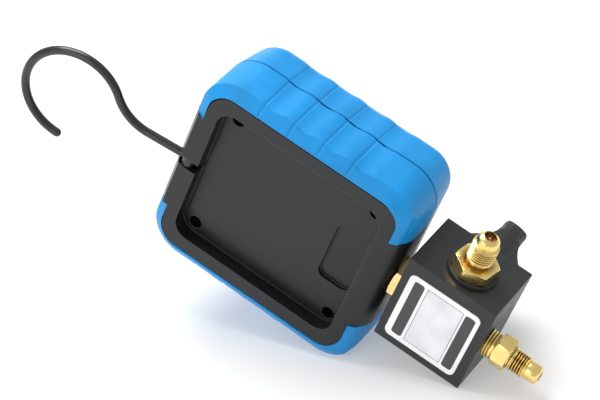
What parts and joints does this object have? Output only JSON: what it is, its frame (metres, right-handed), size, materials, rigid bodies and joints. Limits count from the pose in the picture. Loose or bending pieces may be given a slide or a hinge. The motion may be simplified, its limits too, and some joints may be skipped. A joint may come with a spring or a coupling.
{
  "type": "refrigerant manifold gauge",
  "caption": "Single-valve refrigerant gauge manifold: a round dial in a boxy guarded case with a folding hook, on a valve block with flare ports and a knob.",
  "frame": {"origin": "centre of the bottom port's end face, where its bore opens", "axes": "+Z from the bottom port up through the gauge to the hanger; -Y is the side of the dial and the knob, +Y the rear with the hanger tray and the label; the side port points to -X"},
  "size_m": [0.107, 0.0767, 0.2742],
  "materials": {
    "dark_plastic": "fine moulded grain",
    "black_plastic": "satin",
    "blue_rubber": "satin moulded",
    "clear_lens": "polished",
    "black_rubber": "matte",
    "white_metal": "satin print",
    "pointer_metal": "satin",
    "steel": "brushed",
    "dark_steel": "blackened",
    "brass": "turned",
    "bronze": "drawn",
    "coated_wire": "semi-gloss coating",
    "black_aluminium": "matte black anodised",
    "label": "satin print",
    "seal_plastic": "smooth",
    "cap_plastic": "gloss"
  },
  "bodies": {
    "housing": {"front_shell": "dark_plastic", "rear_cover": "dark_plastic", "guard_rear_left": "blue_rubber", "guard_rear_right": "blue_rubber", "guard_front_left": "blue_rubber", "guard_front_right": "blue_rubber", "bezel": "black_plastic", "lens": "clear_lens", "lens_gasket": "black_rubber", "dial": "white_metal", "dial_screws": "steel", "case_screws": "dark_steel", "hairspring": "bronze", "movement_back_plate": "brass", "movement_front_plate": "brass", "movement_pillars": "brass", "movement_screws": "steel", "bourdon_tube": "bronze", "gauge_stem": "brass", "stem_nut": "brass", "hook_pin": "steel", "valve_block": "black_aluminium", "label_plate": "label", "bottom_port": "brass", "side_port": "brass", "side_port_washer": "black_rubber", "core_housing": "brass", "core_spring": "steel", "valve_gland": "brass", "stem_seal": "black_rubber"},
    "hanger": {"hook": "coated_wire"},
    "tube_end": {"tube_tip": "brass", "tip_link": "brass", "link_pin": "steel"},
    "sector": {"sector_gear": "brass"},
    "needle": {"pointer_arbor": "steel", "pointer": "pointer_metal"},
    "seat": {"seat_swivel": "seal_plastic"},
    "handwheel": {"valve_stem": "steel", "valve_knob": "black_plastic", "knob_screw": "steel", "knob_cap": "cap_plastic"},
    "core": {"core_pin": "brass"}
  },
  "joints": [
    {"name": "hook_fold", "type": "hinge", "parent": "housing", "child": "hanger", "pos_m": [0, 0.0115, 0.1861], "axis": [-1, 0, 0], "range_deg": [-6, 174]},
    {"name": "sector_swing", "type": "hinge", "parent": "housing", "child": "sector", "pos_m": [0.02025, -0.0136, 0.1351], "axis": [0, -1, 0], "range_deg": [0, 33.75], "stiffness_Nm_per_rad": 0.02, "springref_deg": -8.59},
    {"name": "needle_turn", "type": "hinge", "parent": "housing", "child": "needle", "pos_m": [0, -0.0136, 0.1351], "axis": [0, 1, 0], "range_deg": [0, 270.5], "deforming": ["hairspring"]},
    {"name": "tube_end_slide", "type": "slide", "parent": "housing", "child": "tube_end", "axis": [1, 0, 0], "range_m": [0, 0.00475], "deforming": ["bourdon_tube"]},
    {"name": "valve_travel", "type": "slide", "parent": "housing", "child": "seat", "axis": [0, -1, 0], "range_m": [0, 0.00451]},
    {"name": "valve_turn", "type": "hinge", "parent": "seat", "child": "handwheel", "pos_m": [0, -0.04, 0.0516], "axis": [0, -1, 0], "range_deg": [0, 1080]},
    {"name": "core_push", "type": "slide", "parent": "housing", "child": "core", "axis": [1, 0, 0], "range_m": [0, 0.0016], "stiffness_N_per_m": 400, "springref_m": -0.002, "deforming": ["core_spring"]}
  ],
  "couplings": [
    {"joint": "needle_turn", "follows": "sector_swing", "ratio": 8},
    {"joint": "tube_end_slide", "follows": "sector_swing", "m_per_rad": 0.008},
    {"joint": "valve_travel", "follows": "valve_turn", "m_per_rad": 0.00023873}
  ]
}
